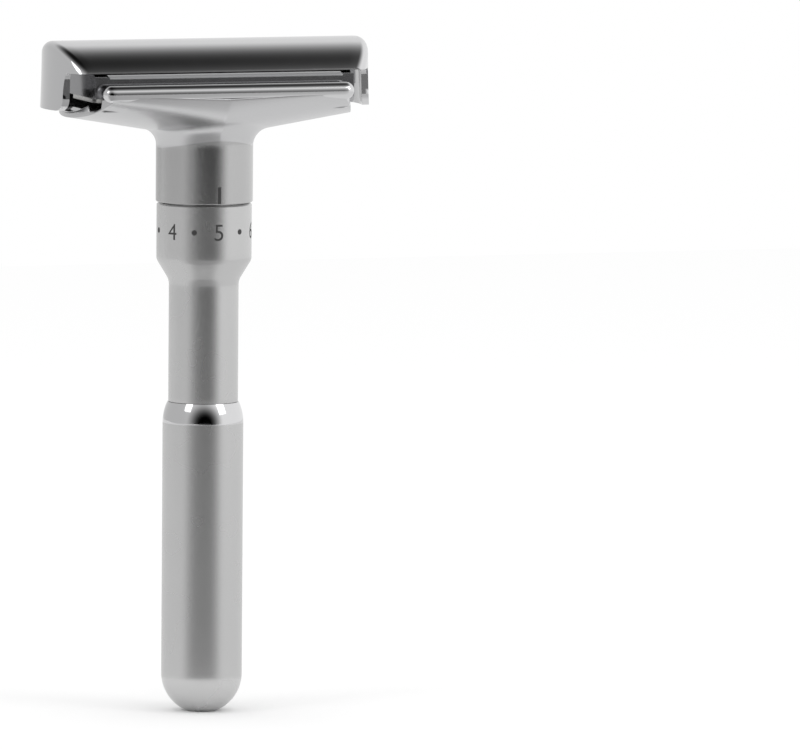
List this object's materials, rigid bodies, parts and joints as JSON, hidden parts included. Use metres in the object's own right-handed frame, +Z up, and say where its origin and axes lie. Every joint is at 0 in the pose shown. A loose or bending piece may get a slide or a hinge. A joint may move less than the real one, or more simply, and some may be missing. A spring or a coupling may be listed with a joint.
{
  "type": "adjustable safety razor",
  "caption": "Adjustable double-edge safety razor with a pull-off cap, a blade-gap dial under the head and a round satin handle.",
  "frame": {"origin": "centre of the flat at the foot of the handle, on the handle's axis", "axes": "+Z up the handle to the head, X along the head and the blade's edges, -Y towards the index line"},
  "size_m": [0.0516, 0.026, 0.1035],
  "materials": {
    "polished_chrome": "mirror-bright chrome plate on cast zinc",
    "satin_chrome": "satin, fine-blasted chrome plate",
    "blade_steel": "rolled stainless steel, ground edges",
    "stem_steel": "turned steel",
    "spring_steel": "drawn spring wire and hard strip",
    "dark_steel": "black-oxide fasteners",
    "brass": "turned brass",
    "seal_rubber": "black moulded rubber"
  },
  "bodies": {
    "head": {"guard_head": "polished_chrome", "thrust_washer": "spring_steel", "adjusting_spring": "spring_steel"},
    "handle": {"dial_sleeve": "satin_chrome", "grip": "satin_chrome", "drive_nut": "brass", "nut_set_screw": "dark_steel", "retaining_ring": "spring_steel", "sealing_ring": "seal_rubber"},
    "bed": {"blade_bed": "polished_chrome", "adjusting_stem": "stem_steel", "retainer_plate": "stem_steel", "retainer_screws": "dark_steel", "guide_pins": "stem_steel", "post_clip_left": "spring_steel", "post_clip_right": "spring_steel"},
    "blade": {"blade": "blade_steel"},
    "cap": {"cap_shell": "polished_chrome", "cap_rail": "polished_chrome", "cap_post_left": "polished_chrome", "cap_post_right": "polished_chrome"}
  },
  "joints": [
    {"name": "handle_turn", "type": "hinge", "parent": "head", "child": "handle", "pos_m": [0, 0, 0.0785], "axis": [0, 0, 1], "range_deg": [-60, 240]},
    {"name": "bed_adjust", "type": "slide", "parent": "head", "child": "bed", "axis": [0, 0, 1], "range_m": [-0.0008, 0.0002], "deforming": ["adjusting_spring"]},
    {"name": "cap_lift", "type": "slide", "parent": "bed", "child": "cap", "axis": [0, 0, 1], "range_m": [0, 0.025], "deforming": ["post_clip_left", "post_clip_right"]},
    {"name": "blade_lift", "type": "slide", "parent": "bed", "child": "blade", "axis": [0, 0, 1], "range_m": [0, 0.0126]}
  ],
  "couplings": [
    {"joint": "handle_turn", "follows": "bed_adjust", "rad_per_m": -5236},
    {"joint": "blade_lift", "follows": "cap_lift", "ratio": 0.5}
  ]
}
